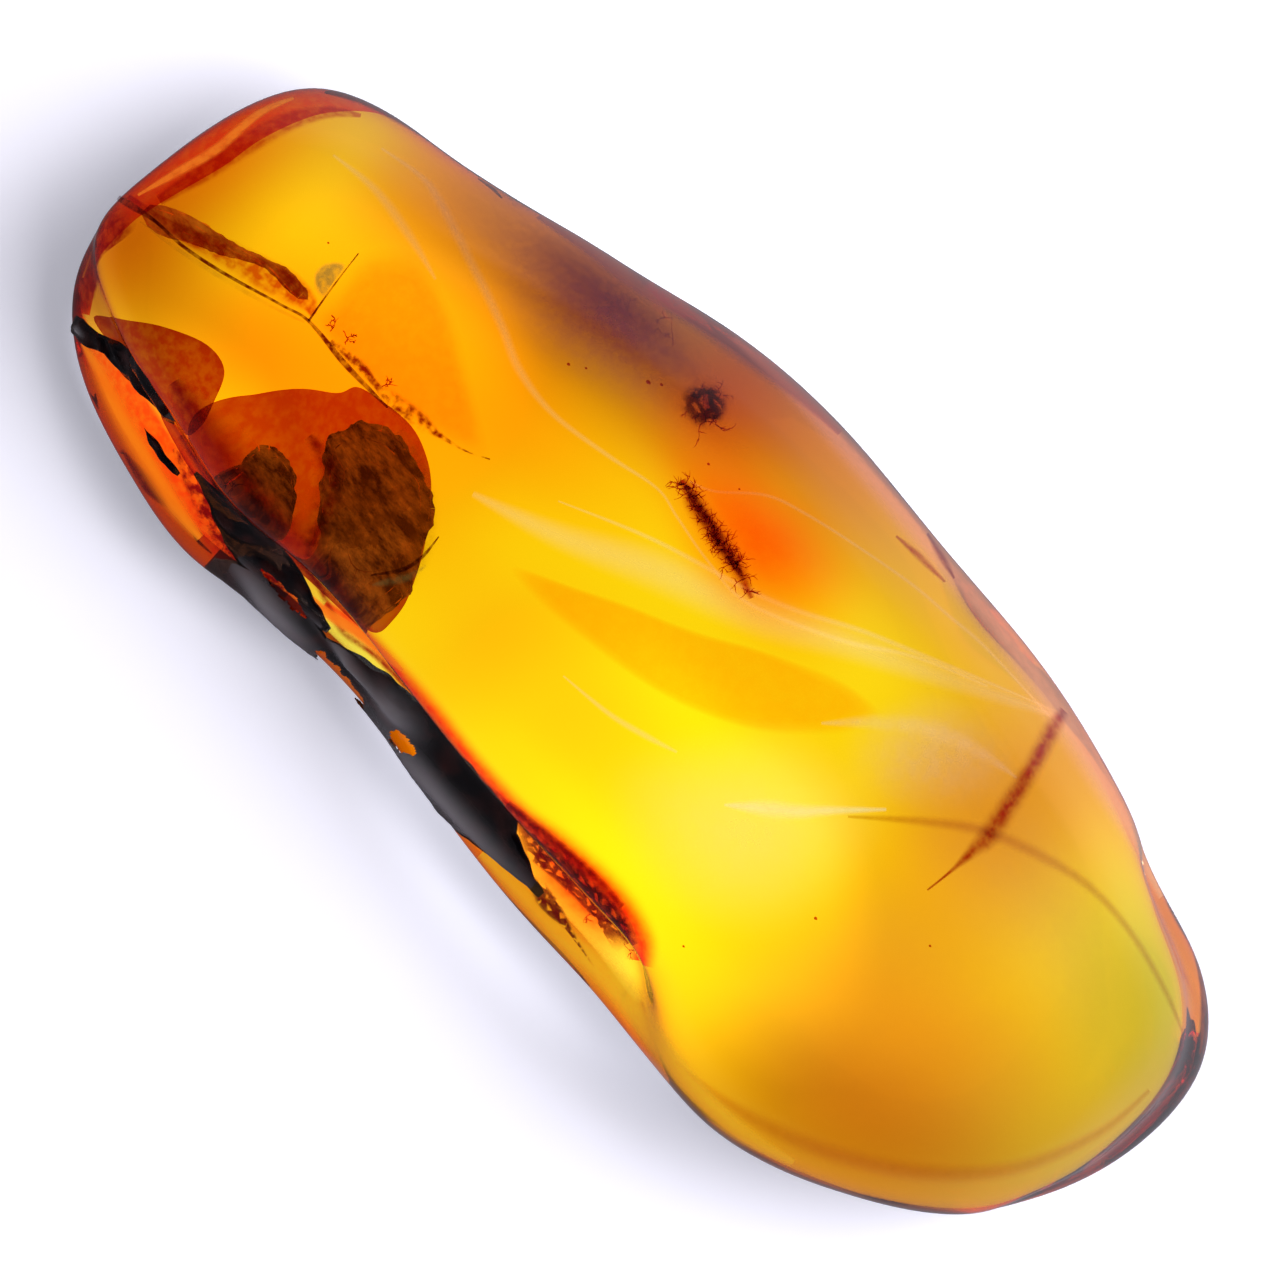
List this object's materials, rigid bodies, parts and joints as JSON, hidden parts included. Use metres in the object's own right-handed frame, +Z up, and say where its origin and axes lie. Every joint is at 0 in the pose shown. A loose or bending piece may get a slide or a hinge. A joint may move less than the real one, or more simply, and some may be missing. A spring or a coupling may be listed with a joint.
{
  "type": "polished amber",
  "caption": "Hand-polished nugget of clear golden amber, long and rounded, lying on its flatter side, with bark flakes and a plant shred sealed inside and a dark recess along one flank.",
  "frame": {"origin": "on the resting surface, under the middle of the nugget's box", "axes": "+X from the blunt end to the tapered end, +Y to the smooth flank, -Y to the recessed flank, +Z up from the resting face"},
  "size_m": [0.069, 0.0287, 0.017],
  "materials": {
    "amber": "polished",
    "bark": "matte",
    "plant": "matte"
  },
  "bodies": {
    "root": {"amber_upper": "amber", "amber_lower": "amber", "bark_flake_large": "bark", "bark_flake_small": "bark", "plant_shred": "plant"}
  },
  "joints": []
}
